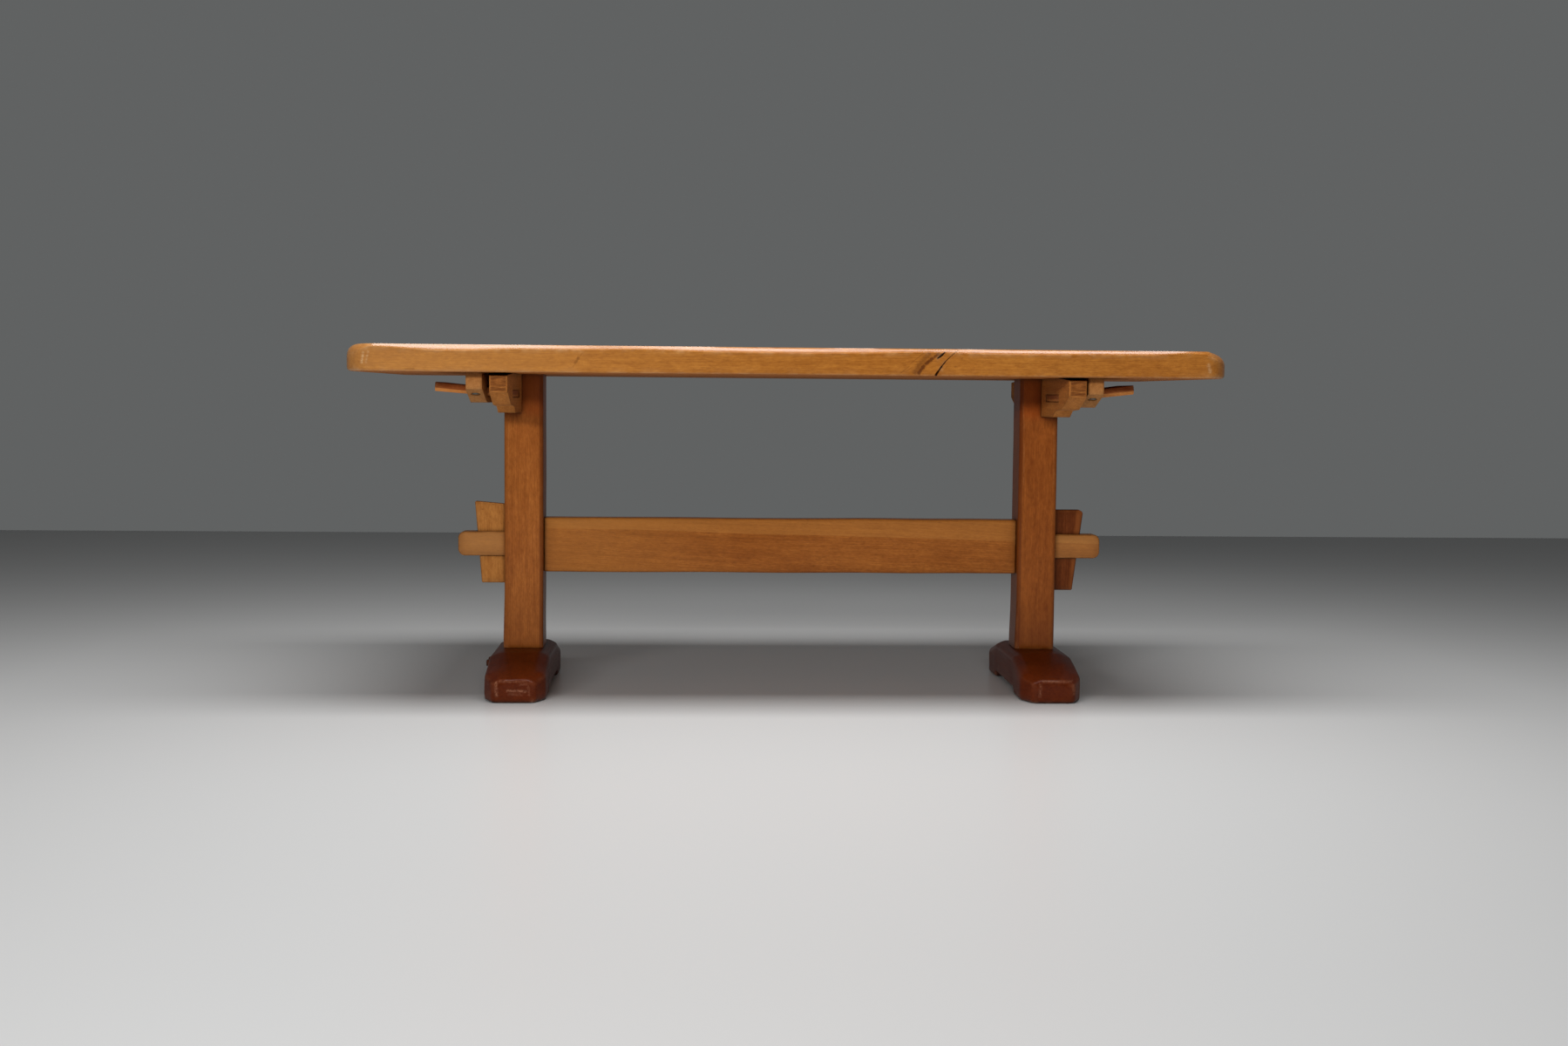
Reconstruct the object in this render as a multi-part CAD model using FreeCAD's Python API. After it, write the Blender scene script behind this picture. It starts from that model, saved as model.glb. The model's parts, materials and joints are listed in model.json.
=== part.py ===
import FreeCAD, Part
import math
import os

# Knock-down trestle dining table in solid wood, in millimetres.
# X runs along the table, Y across it (front is -Y), Z is up, and the floor is Z = 0.

# Top
table_height = 750.0
top_length = 1800.0
top_depth = 800.0
top_thickness = 55.0
plank_count = 4
corner_cut_along = 30.0
corner_cut_across = 34.0
top_edge_radius = 10.0
underside_edge_radius = 3.0
plank_joint_bevel = 1.0
tongue_thickness = 12.0
tongue_width = 40.0
tongue_end_margin = 90.0

# Posts
post_inset = 328.0
post_width = 86.0
post_depth = 92.0
post_edge_radius = 9.0
post_tenon_thickness = 40.0
post_tenon_shoulder = 8.0

# Feet
foot_length = 520.0
foot_inner_ledge = 20.0
foot_outer_ledge = 26.0
foot_height = 89.0
foot_end_height = 51.0
foot_flat_length = 224.0
foot_edge_drop = 10.0
foot_corner_cut_along = 46.0
foot_corner_cut_across = 21.0
foot_end_bevel = 4.0
foot_relief_length = 260.0
foot_relief_height = 13.0
foot_relief_slope = 12.0
foot_mortise_floor = 16.0

# Bearers
bearer_inset = 42.0
bearer_thickness = 37.0
bearer_height = 83.5
bearer_setback = 2.0
corbel_long_run = 76.0
corbel_long_rise = 27.0
corbel_step_run = 66.0
corbel_step_rise = 3.0
corbel_short_run = 31.0
corbel_short_rise = 14.0
bearer_top_relief = 6.0
bearer_top_relief_run = 130.0
bearer_end_radius = 5.0

# Battens
batten_inset = 60.0
batten_tail = 95.0
batten_thickness = 34.0
batten_height = 62.0
batten_toe_run = 90.0
batten_toe_rise = 28.0
batten_gap_left = 16.0
batten_gap_right = 6.0
batten_end_radius = 5.0

# Stretcher
stretcher_bottom = 257.0
stretcher_height = 121.0
stretcher_thickness = 46.0
stretcher_edge_radius = 5.0
tenon_lift = 35.0
tenon_height = 54.0
tenon_thickness = 40.0
tenon_tail = 36.5
tenon_end_radius = 15.0

# Tusk wedges
wedge_length = 182.0
wedge_thickness = 20.0
wedge_top_width = 68.0
wedge_taper_left = 15.0
wedge_taper_right = 23.0
wedge_rise_left = 67.0
wedge_rise_right = 55.0
wedge_edge_bevel = 2.0
draw_relief = 6.0

# Top keys
key_length = 161.0
key_thin_end = 16.0
key_taper = 3.5
key_tilt_left_degrees = 5.0
key_tilt_right_degrees = 7.0
key_drop = 43.0
key_recess = 1.5
key_post_gap = 52.0
key_edge_bevel = 1.2

# Pegs
foot_peg_diameter = 16.0
foot_peg_projection = 16.0
foot_peg_spacing = 44.0
foot_peg_height = 52.0
foot_peg_cover = 16.0
lap_peg_diameter = 12.0
lap_peg_spread_across = 40.0
lap_peg_spread_up = 36.0
lap_peg_cover = 14.0
peg_end_bevel = 1.5

# Batten screws
screw_head_diameter = 15.0
screw_head_height = 6.0
screw_shank_diameter = 8.0
screw_tip_length = 8.0
screw_grip = 39.0
screw_cover = 19.0
screw_slot_width = 1.8
screw_slot_depth = 2.2
screw_head_room = 2.5
screw_end_inset = 36.0
screw_mid_offset = 45.0

# Clearances
slide_clearance = 0.3
joint_clearance = 0.2
peg_clearance = 0.1

# Heights and distances from the centre plane that several pieces share
underside = table_height - top_thickness
post_middle = top_length / 2 - post_inset
post_out = post_middle + post_width / 2
post_in = post_middle - post_width / 2
post_tenon_width = post_depth - 2 * post_tenon_shoulder
post_tenon_bottom = foot_relief_height + foot_mortise_floor
foot_in = post_in - foot_inner_ledge
foot_out = post_out + foot_outer_ledge
bearer_out = post_out - bearer_setback
bearer_in = bearer_out - bearer_thickness
bearer_bottom = underside - bearer_height
bearer_half = top_depth / 2 - bearer_inset
batten_bottom = underside - batten_height
batten_half = top_depth / 2 - batten_inset
tenon_bottom = stretcher_bottom + tenon_lift
tenon_top = tenon_bottom + tenon_height
tenon_end = post_out + wedge_top_width + tenon_tail
key_near = post_depth / 2 + key_post_gap
key_far = batten_half - batten_tail
screw_seat = underside - screw_grip
screw_point = table_height - screw_cover
LEFT, RIGHT = -1, 1
FRONT, REAR = -1, 1


def side_name(side):
    return "left" if side == LEFT else "right"


def batten_in(side):
    gap = batten_gap_left if side == LEFT else batten_gap_right
    return bearer_out + gap


def box(xs, ys, zs):
    corner = FreeCAD.Vector(min(xs), min(ys), min(zs))
    return Part.makeBox(abs(xs[1] - xs[0]), abs(ys[1] - ys[0]), abs(zs[1] - zs[0]), corner)


def prism(corners, sweep):
    """Straight prism: a closed polygon of 3-D corners, swept along a vector."""
    loop = Part.makePolygon(corners + corners[:1])
    return Part.Face(loop).extrude(FreeCAD.Vector(*sweep))


def prism_along_x(outline, x_start, x_end):
    """Outline of (y, z) points swept from x_start to x_end."""
    corners = [FreeCAD.Vector(x_start, y, z) for y, z in outline]
    return prism(corners, (x_end - x_start, 0, 0))


def prism_along_y(outline, y_start, y_end):
    """Outline of (x, z) points swept from y_start to y_end."""
    corners = [FreeCAD.Vector(x, y_start, z) for x, z in outline]
    return prism(corners, (0, y_end - y_start, 0))


def rod(radius, start, end):
    axis = FreeCAD.Vector(*end) - FreeCAD.Vector(*start)
    return Part.makeCylinder(radius, axis.Length, FreeCAD.Vector(*start), axis)


def edges_along(shape, axis):
    """Straight edges of a shape that run parallel to an axis vector."""
    direction = FreeCAD.Vector(*axis)
    found = []
    for edge in shape.Edges:
        span = edge.Vertexes[-1].Point - edge.Vertexes[0].Point
        if span.Length > 0 and span.cross(direction).Length < 1e-6 * span.Length:
            found.append(edge)
    return found


def end_edges(shape, half):
    """Edges of a timber's two end faces, which stand at y = -half and y = half."""
    return [e for e in shape.Edges if all(abs(abs(v.Point.y) - half) < 1e-6 for v in e.Vertexes)]


def bevelled(shape, size):
    return shape.makeChamfer(size, shape.Edges)


# Top


def top_blank():
    """The whole top before it is parted into planks: cut corners and rounded edges."""
    half_x = top_length / 2
    half_y = top_depth / 2
    outline = [
        (-half_x + corner_cut_along, -half_y),
        (half_x - corner_cut_along, -half_y),
        (half_x, -half_y + corner_cut_across),
        (half_x, half_y - corner_cut_across),
        (half_x - corner_cut_along, half_y),
        (-half_x + corner_cut_along, half_y),
        (-half_x, half_y - corner_cut_across),
        (-half_x, -half_y + corner_cut_across),
    ]
    corners = [FreeCAD.Vector(x, y, underside) for x, y in outline]
    slab = prism(corners, (0, 0, top_thickness))
    upper = [e for e in slab.Edges if e.BoundBox.ZMin > table_height - 1e-6]
    slab = slab.makeFillet(top_edge_radius, upper)
    lower = [e for e in slab.Edges if e.BoundBox.ZMax < underside + 1e-6]
    return slab.makeFillet(underside_edge_radius, lower)


def plank_joints():
    """Y of each glued joint between neighbouring planks."""
    width = top_depth / plank_count
    return [-top_depth / 2 + width * number for number in range(1, plank_count)]


def tongue(joint_y, clearance):
    """Loose tongue across one glued joint; its groove is the same shape with clearance."""
    half_x = top_length / 2 - tongue_end_margin + clearance
    half_y = tongue_width / 2 + clearance
    half_z = tongue_thickness / 2 + clearance
    middle = underside + top_thickness / 2
    return box((-half_x, half_x), (joint_y - half_y, joint_y + half_y), (middle - half_z, middle + half_z))


def joint_groove(joint_y):
    """Fine V along the upper side of a glued joint."""
    size = plank_joint_bevel
    outline = [
        (joint_y - size, table_height), (joint_y + size, table_height), (joint_y, table_height - size),
    ]
    return prism_along_x(outline, -top_length / 2, top_length / 2)


def plank(number, blank):
    bounds = [-top_depth / 2] + plank_joints() + [top_depth / 2]
    slice_box = box((-top_length, top_length), bounds[number - 1:number + 1], (underside, table_height))
    piece = blank.common(slice_box)
    for joint_y in plank_joints():
        piece = piece.cut(tongue(joint_y, joint_clearance))
        piece = piece.cut(joint_groove(joint_y))
    hole_radius = screw_shank_diameter / 2 + peg_clearance
    hole_end = screw_point + joint_clearance
    for x, y in screw_places(LEFT) + screw_places(RIGHT):
        piece = piece.cut(rod(hole_radius, (x, y, underside), (x, y, hole_end)))
    return piece


# Battens and their screws


def screw_places(side):
    """(x, y) of the screws of one batten: one into each quarter of the top's depth."""
    x = side * (batten_in(side) + batten_thickness / 2)
    end_y = batten_half - screw_end_inset
    return [(x, y) for y in (-end_y, -screw_mid_offset, screw_mid_offset, end_y)]


def screw(x, y):
    head_bottom = screw_seat - screw_head_height
    shank_end = screw_point - screw_tip_length
    radius = screw_shank_diameter / 2
    head = rod(screw_head_diameter / 2, (x, y, head_bottom), (x, y, screw_seat))
    shank = rod(radius, (x, y, screw_seat), (x, y, shank_end))
    tip = Part.makeCone(radius, 0, screw_tip_length, FreeCAD.Vector(x, y, shank_end))
    half_slot = screw_slot_width / 2
    slot = box((x - screw_head_diameter, x + screw_head_diameter), (y - half_slot, y + half_slot),
               (head_bottom, head_bottom + screw_slot_depth))
    return head.fuse([shank, tip]).removeSplitter().cut(slot)


def batten_screws(side):
    return Part.makeCompound([screw(x, y) for x, y in screw_places(side)])


def batten(side):
    toe = batten_half - batten_toe_run
    toe_top = batten_bottom + batten_toe_rise
    outline = [
        (-batten_half, underside), (-batten_half, toe_top), (-toe, batten_bottom),
        (toe, batten_bottom), (batten_half, toe_top), (batten_half, underside),
    ]
    inner = batten_in(side)
    piece = prism_along_x(outline, side * inner, side * (inner + batten_thickness))
    free_edges = [e for e in end_edges(piece, batten_half) if e.BoundBox.ZMin < underside - batten_end_radius]
    piece = piece.makeFillet(batten_end_radius, free_edges)
    for end in (FRONT, REAR):
        piece = piece.cut(key_slot(side, end))
    hole_radius = screw_shank_diameter / 2 + peg_clearance
    counterbore_radius = screw_head_diameter / 2 + screw_head_room
    for x, y in screw_places(side):
        piece = piece.cut(rod(counterbore_radius, (x, y, batten_bottom), (x, y, screw_seat)))
        piece = piece.cut(rod(hole_radius, (x, y, screw_seat), (x, y, underside)))
    return piece


# Keys that lock the battens to the bearers


def key_blank(side, end, clearance, overrun):
    """Tapered board that climbs outwards; clearance and overrun turn it into its slot."""
    tilt = math.radians(key_tilt_left_degrees if side == LEFT else key_tilt_right_degrees)
    along = FreeCAD.Vector(side * math.cos(tilt), 0, math.sin(tilt))
    upward = FreeCAD.Vector(-side * math.sin(tilt), 0, math.cos(tilt))
    start = FreeCAD.Vector(side * (bearer_in + key_recess), 0, underside - key_drop)
    growth = key_taper / key_length / 2

    def corner(distance, upper):
        half = key_thin_end / 2 + growth * distance + clearance
        return start + along * distance + upward * (half if upper else -half)

    near = end * (key_near - clearance)
    far = end * (key_far + clearance)
    loop = [
        corner(-overrun, False), corner(key_length + overrun, False),
        corner(key_length + overrun, True), corner(-overrun, True),
    ]
    corners = [FreeCAD.Vector(point.x, near, point.z) for point in loop]
    return prism(corners, (0, far - near, 0))


def key(side, end):
    return bevelled(key_blank(side, end, 0.0, 0.0), key_edge_bevel)


def key_slot(side, end):
    return key_blank(side, end, slide_clearance, bearer_thickness)


# Bearers and the pegs of the lap joint


def bearer(side):
    half = bearer_half
    long_end = half - corbel_long_run
    step_end = long_end - corbel_step_run
    short_end = step_end - corbel_short_run
    short_top = bearer_bottom + corbel_short_rise
    step_top = short_top + corbel_step_rise
    end_bottom = step_top + corbel_long_rise
    relief_start = half - bearer_top_relief_run
    rear_half = [
        (short_end, bearer_bottom), (step_end, short_top), (long_end, step_top), (half, end_bottom),
        (half, underside - bearer_top_relief), (relief_start, underside),
    ]
    front_half = [(-y, z) for y, z in reversed(rear_half)]
    piece = prism_along_x(rear_half + front_half, side * bearer_in, side * bearer_out)
    piece = piece.makeFillet(bearer_end_radius, end_edges(piece, half))
    for end in (FRONT, REAR):
        piece = piece.cut(key_slot(side, end))
    return piece.cut(lap_pegs(side, peg_clearance))


def lap_pegs(side, clearance):
    """Two pegs, set on a diagonal, through the bearer and blind into the inner half of the post."""
    middle = (bearer_bottom + underside) / 2
    pegs = []
    for step in (-1, 1):
        y = step * lap_peg_spread_across / 2
        z = middle - step * lap_peg_spread_up / 2
        start = (side * (post_in + lap_peg_cover), y, z)
        pegs.append(rod(lap_peg_diameter / 2 + clearance, start, (side * bearer_out, y, z)))
    return Part.makeCompound(pegs)


# Posts


def post(side):
    """Post with a tenon into the foot, a lap for the bearer and a mortise for the stretcher."""
    middle = side * post_middle
    xs = (side * post_in, side * post_out)
    half_y = post_depth / 2
    shaft = box(xs, (-half_y, half_y), (foot_height, underside))
    shaft = shaft.makeFillet(post_edge_radius, edges_along(shaft, (0, 0, 1)))
    half_tenon_x = post_tenon_thickness / 2
    half_tenon_y = post_tenon_width / 2
    foot_tenon = box((middle - half_tenon_x, middle + half_tenon_x), (-half_tenon_y, half_tenon_y),
                     (post_tenon_bottom, foot_height))
    lap = box((side * bearer_in, side * (post_out + bearer_thickness)), (-post_depth, post_depth),
              (bearer_bottom, table_height))
    half_mortise = tenon_thickness / 2 + joint_clearance
    mortise = box((side * (post_in - post_width), side * (post_out + post_width)),
                  (-half_mortise, half_mortise),
                  (tenon_bottom - joint_clearance, tenon_top + joint_clearance))
    piece = shaft.fuse(foot_tenon).removeSplitter()
    return piece.cut([lap, mortise, lap_pegs(side, peg_clearance), foot_pegs(side, peg_clearance)])


# Feet and their pegs


def foot_section(side, y, cut, height):
    """Closed cross-section of a foot: flat top as wide as the post, sloped long edges."""
    inner = foot_in + cut
    outer = foot_out - cut
    shoulder = height - foot_edge_drop
    outline = [
        (inner, 0), (outer, 0), (outer, shoulder),
        (outer - foot_outer_ledge, height), (inner + foot_inner_ledge, height), (inner, shoulder),
    ]
    points = [FreeCAD.Vector(side * x, y, z) for x, z in outline]
    return Part.makePolygon(points + points[:1])


def foot_stations():
    """(y, cut into each side, height) from the middle of a foot to its end."""
    half = foot_length / 2
    flat_end = foot_flat_length / 2
    slope = (foot_height - foot_end_height) / (half - flat_end)
    cut_start = half - foot_corner_cut_along
    narrowing = foot_corner_cut_across / foot_corner_cut_along

    def station(y):
        cut = max(0.0, y - cut_start) * narrowing
        return (y, cut, foot_height - max(0.0, y - flat_end) * slope)

    stations = [station(y) for y in sorted((flat_end, cut_start, half - foot_end_bevel))]
    end_y, end_cut, end_height = station(half)
    return stations + [(end_y, end_cut + foot_end_bevel, end_height - foot_end_bevel)]


def foot_relief(side):
    """Shallow hollow under the middle of a foot, so that it stands on its two ends."""
    half = foot_relief_length / 2
    top_half = half - foot_relief_slope
    outline = [
        (-half - foot_relief_slope, -foot_relief_height), (half + foot_relief_slope, -foot_relief_height),
        (top_half, foot_relief_height), (-top_half, foot_relief_height),
    ]
    margin = foot_relief_slope
    return prism_along_x(outline, side * (foot_in - margin), side * (foot_out + margin))


def foot(side):
    middle = side * post_middle
    rear = foot_stations()
    front = [(-y, cut, height) for y, cut, height in reversed(rear)]
    sections = [foot_section(side, *station) for station in front + rear]
    piece = Part.makeLoft(sections, True, True)
    half_x = post_tenon_thickness / 2 + joint_clearance
    half_y = post_tenon_width / 2 + joint_clearance
    mortise = box((middle - half_x, middle + half_x), (-half_y, half_y),
                  (post_tenon_bottom - joint_clearance, foot_height + foot_edge_drop))
    return piece.cut([foot_relief(side), mortise, foot_pegs(side, peg_clearance)])


def foot_pegs(side, clearance):
    """Two pegs through the post's tenon, blind in the foot's inner cheek, proud on the outer side."""
    outer = foot_out + foot_peg_projection
    pegs = []
    for step in (-1, 1):
        y = step * foot_peg_spacing / 2
        start = (side * (foot_in + foot_peg_cover), y, foot_peg_height)
        pegs.append(rod(foot_peg_diameter / 2 + clearance, start, (side * outer, y, foot_peg_height)))
    return Part.makeCompound(pegs)


# Stretcher and its wedges


def tenon(side):
    """Through tenon with rounded end corners."""
    half_y = tenon_thickness / 2
    bar = box((side * post_in, side * tenon_end), (-half_y, half_y), (tenon_bottom, tenon_top))
    corners = [e for e in edges_along(bar, (0, 1, 0)) if abs(abs(e.CenterOfMass.x) - tenon_end) < 1e-6]
    return bar.makeFillet(min(tenon_end_radius, 0.45 * tenon_height), corners)


def wedge_blank(side, clearance, draw, overrun):
    """Tusk wedge, upright against the post; clearance, draw and overrun turn it into its mortise."""
    taper = wedge_taper_left if side == LEFT else wedge_taper_right
    rise = wedge_rise_left if side == LEFT else wedge_rise_right
    top = tenon_top + rise
    slope = taper / wedge_length
    inner = post_out + slide_clearance - draw
    outer_top = post_out + slide_clearance + wedge_top_width + clearance + slope * overrun
    outer_bottom = outer_top - taper - 2 * slope * overrun
    upper = top + overrun
    lower = top - wedge_length - overrun
    outline = [(inner, lower), (outer_bottom, lower), (outer_top, upper), (inner, upper)]
    half_y = wedge_thickness / 2 + clearance
    return prism_along_y([(side * x, z) for x, z in outline], -half_y, half_y)


def wedge(side):
    return bevelled(wedge_blank(side, 0.0, 0.0, 0.0), wedge_edge_bevel)


def wedge_mortise(side):
    return wedge_blank(side, slide_clearance, draw_relief, wedge_length)


def stretcher():
    half_y = stretcher_thickness / 2
    stretcher_top = stretcher_bottom + stretcher_height
    bar = box((-post_in, post_in), (-half_y, half_y), (stretcher_bottom, stretcher_top))
    bar = bar.makeFillet(stretcher_edge_radius, edges_along(bar, (1, 0, 0)))
    bar = bar.fuse([tenon(LEFT), tenon(RIGHT)]).removeSplitter()
    return bar.cut([wedge_mortise(LEFT), wedge_mortise(RIGHT)])


def bevel_pegs(pegs):
    return Part.makeCompound([bevelled(peg, peg_end_bevel) for peg in pegs.Solids])


def all_pieces():
    blank = top_blank()
    pieces = {"stretcher": stretcher()}
    for number in range(1, plank_count + 1):
        pieces[f"top_plank_{number}"] = plank(number, blank)
    for number, joint_y in enumerate(plank_joints(), 1):
        pieces[f"top_tongue_{number}"] = tongue(joint_y, 0.0)
    for side in (LEFT, RIGHT):
        name = side_name(side)
        pieces[f"{name}_batten"] = batten(side)
        pieces[f"{name}_batten_screws"] = batten_screws(side)
        pieces[f"{name}_bearer"] = bearer(side)
        pieces[f"{name}_lap_pegs"] = lap_pegs(side, 0.0)
        pieces[f"{name}_post"] = post(side)
        pieces[f"{name}_foot"] = foot(side)
        pieces[f"{name}_foot_pegs"] = bevel_pegs(foot_pegs(side, 0.0))
        pieces[f"{name}_wedge"] = wedge(side)
        pieces[f"{name}_front_key"] = key(side, FRONT)
        pieces[f"{name}_rear_key"] = key(side, REAR)
    return pieces


os.makedirs("parts", exist_ok=True)
for node, shape in all_pieces().items():
    shape.exportStep(f"parts/{node}.step")
    print(node, len(shape.Solids), "solid(s)", round(shape.Volume / 1000), "cm3")
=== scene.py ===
"""Looks of the trestle dining table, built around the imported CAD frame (metres)."""
import json
import math

import bmesh
import bpy
from mathutils import Matrix, Vector, noise

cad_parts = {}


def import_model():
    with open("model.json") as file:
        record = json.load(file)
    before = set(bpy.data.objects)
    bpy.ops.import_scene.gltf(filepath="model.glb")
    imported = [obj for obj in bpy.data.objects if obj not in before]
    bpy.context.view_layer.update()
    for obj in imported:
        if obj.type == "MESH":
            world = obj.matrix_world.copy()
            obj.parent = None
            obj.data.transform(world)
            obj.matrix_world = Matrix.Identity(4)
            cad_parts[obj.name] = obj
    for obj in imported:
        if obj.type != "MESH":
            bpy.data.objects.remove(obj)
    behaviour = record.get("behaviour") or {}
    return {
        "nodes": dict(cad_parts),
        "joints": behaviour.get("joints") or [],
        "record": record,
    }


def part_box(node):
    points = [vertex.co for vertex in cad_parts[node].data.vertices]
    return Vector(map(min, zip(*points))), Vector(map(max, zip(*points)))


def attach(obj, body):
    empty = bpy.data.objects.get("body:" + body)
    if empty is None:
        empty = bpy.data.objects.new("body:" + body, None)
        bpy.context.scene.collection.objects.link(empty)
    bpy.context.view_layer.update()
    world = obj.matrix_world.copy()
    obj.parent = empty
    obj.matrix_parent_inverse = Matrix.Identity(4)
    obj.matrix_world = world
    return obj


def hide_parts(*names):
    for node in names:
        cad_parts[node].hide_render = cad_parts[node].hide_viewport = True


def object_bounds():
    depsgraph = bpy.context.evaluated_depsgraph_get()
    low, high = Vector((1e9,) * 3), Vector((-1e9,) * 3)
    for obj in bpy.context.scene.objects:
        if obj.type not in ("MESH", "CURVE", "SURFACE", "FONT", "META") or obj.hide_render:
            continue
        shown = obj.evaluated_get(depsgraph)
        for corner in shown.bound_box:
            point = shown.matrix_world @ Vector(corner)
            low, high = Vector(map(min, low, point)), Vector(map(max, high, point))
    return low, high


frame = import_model()
cad_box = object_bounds()

MM = 0.001
SIDES = ("left", "right")
HEWN_SEED = 5
noise.seed_set(HEWN_SEED)  # without it noise_vector differs from run to run
WELD = 0.002 * MM
SNAP = 0.001 * MM
FLAT_ANGLE = math.radians(0.5)
CORNER_ANGLE = math.radians(30)
SHARP_ANGLE = math.radians(50)
FULL_ARRIS = math.radians(45)
ARRIS_REACH, ARRIS_SHARE = 6 * MM, 0.6
PATINA_REACH, PATINA_SHARE = 15 * MM, 0.35
UNDER_FACING = -0.9
BODY_OF = {
    node: body
    for body, nodes in frame["record"]["behaviour"]["bodies"].items()
    for node in nodes
}


# Shader tree helpers

def put(tree, kind, inputs=None, **props):
    """Adds a shader node, sets its properties and fills its inputs with values or links."""
    made = tree.nodes.new("ShaderNode" + kind)
    for key, value in props.items():
        setattr(made, key, value)
    for key, value in (inputs or {}).items():
        if isinstance(value, bpy.types.NodeSocket):
            tree.links.new(value, made.inputs[key])
        else:
            made.inputs[key].default_value = value
    return made


def calc(tree, operation, *values, clamp=False):
    """The output of a Math node."""
    made = put(tree, "Math", dict(enumerate(values)), operation=operation, use_clamp=clamp)
    return made.outputs[0]


def times(tree, first, *others):
    """The product of two or more values."""
    for other in others:
        first = calc(tree, "MULTIPLY", first, other)
    return first


def vector_calc(tree, operation, *values):
    """The output of a Vector Math node."""
    made = put(tree, "VectorMath", dict(enumerate(values)), operation=operation)
    return made.outputs["Value" if operation == "LENGTH" else "Vector"]


def ramp(tree, factor, stops):
    """A colour ramp through (place, colour) stops; a plain number is a grey."""
    made = put(tree, "ValToRGB", {"Fac": factor})
    band = made.color_ramp
    while len(band.elements) < len(stops):
        band.elements.new(1.0)
    for element, (place, colour) in zip(band.elements, stops):
        element.position = place
        element.color = (*colour, 1) if isinstance(colour, tuple) else (colour, colour, colour, 1)
    return made.outputs["Color"]


def span(tree, value, low, high, out_low=0.0, out_high=1.0):
    """A clamped linear map of a value from one range to another."""
    limits = {"From Min": low, "From Max": high, "To Min": out_low, "To Max": out_high}
    return put(tree, "MapRange", {"Value": value, **limits}).outputs["Result"]


def mix(tree, factor, first, second, mode="MIX"):
    """A colour mix; first and second are colours or sockets."""
    first, second = ((*value, 1) if isinstance(value, tuple) else value for value in (first, second))
    made = put(tree, "Mix", {0: factor, 6: first, 7: second}, data_type="RGBA", blend_type=mode)
    return made.outputs[2]


def grains(tree, vector, scale, detail=2.0, rough=0.5, out="Fac"):
    """Noise over a vector that is stretched by a scale for each axis."""
    stretched = vector_calc(tree, "MULTIPLY", vector, scale)
    settings = {"Scale": 1.0, "Detail": detail, "Roughness": rough}
    return put(tree, "TexNoise", {"Vector": stretched, **settings}).outputs[out]


def dimmed(colour, share):
    """A colour made darker or lighter."""
    return tuple(share * c for c in colour)


def new_tree(name, inputs=None):
    """A new material's node tree and its shader, with the shader's uniform values."""
    material = bpy.data.materials.new(name)
    material.use_nodes = True
    tree = material.node_tree
    tree.nodes.clear()
    shader = put(tree, "BsdfPrincipled", inputs)
    put(tree, "OutputMaterial", {"Surface": shader.outputs["BSDF"]})
    return material, tree, shader


# Materials

AXES = {"x": (1, 2, 0), "y": (0, 2, 1), "z": (0, 1, 2)}


def grain_space(tree, grain, pith, lean):
    """Object coordinates turned so that the third runs along the grain, from the pith; lean tilts it."""
    place = put(tree, "TexCoord")
    parts = put(tree, "SeparateXYZ", {"Vector": place.outputs["Object"]}).outputs
    first, second, along = (parts[axis] for axis in AXES[grain])
    leaning = calc(tree, "MULTIPLY_ADD", along, lean, second)
    turned = put(tree, "CombineXYZ", {"X": first, "Y": leaning, "Z": along})
    facing = put(tree, "SeparateXYZ", {"Vector": place.outputs["Normal"]})
    end = calc(tree, "ABSOLUTE", facing.outputs[AXES[grain][2]])
    return vector_calc(tree, "SUBTRACT", turned.outputs[0], (*pith, 0.0)), end, parts


CRACK_SLANT = 0.5
STROKE_DEPTH = (0.10, 0.04)
STROKE_END = 2 * MM
RAGGED_SCALE, RAGGED_DETAIL = 240.0, 3.0
RAGGED_SHARE, RAGGED_LEAST = 0.9, 1.4
KNOT_BROWN = (0.075, 0.017, 0.0025)
CRACK_BLACK = (0.012, 0.003, 0.001)


def front_marks(tree, parts, strokes, front):
    """Strength of marks near a piece's front; a stroke runs from (x, z) to (x, z), in mm."""
    depth = calc(tree, "SUBTRACT", parts[1], front)
    fade = span(tree, depth, *STROKE_DEPTH)
    x_here = calc(tree, "MULTIPLY_ADD", depth, -CRACK_SLANT, parts[0])
    spot = put(tree, "CombineXYZ", {"X": x_here, "Y": depth, "Z": parts[2]})
    ragged = put(tree, "TexNoise",
                 {"Vector": spot.outputs[0], "Scale": RAGGED_SCALE, "Detail": RAGGED_DETAIL})
    ragged = calc(tree, "SUBTRACT", ragged.outputs["Fac"], 0.5)
    marks = 0.0
    for x0, z0, x1, z1, half, soft, strength in strokes:
        start, run = Vector((x0, z0)) * MM, Vector((x1 - x0, z1 - z0)) * MM
        way = run.normalized()
        aside = calc(tree, "SUBTRACT", x_here, start.x)
        above = calc(tree, "SUBTRACT", parts[2], start.y)
        along = calc(tree, "MULTIPLY_ADD", above, way.y, times(tree, aside, way.x))
        across = calc(tree, "MULTIPLY_ADD", above, way.x, times(tree, aside, -way.y))
        across = calc(tree, "MULTIPLY_ADD", ragged, (RAGGED_SHARE * half + RAGGED_LEAST) * MM, across)
        near = span(tree, calc(tree, "ABSOLUTE", across), half * MM, half * (1 - soft) * MM)
        begun = span(tree, along, -STROKE_END, STROKE_END)
        ended = span(tree, along, run.length + STROKE_END, run.length - STROKE_END)
        marks = calc(tree, "MAXIMUM", times(tree, near, begun, ended, strength), marks)
    return times(tree, marks, fade)


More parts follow.
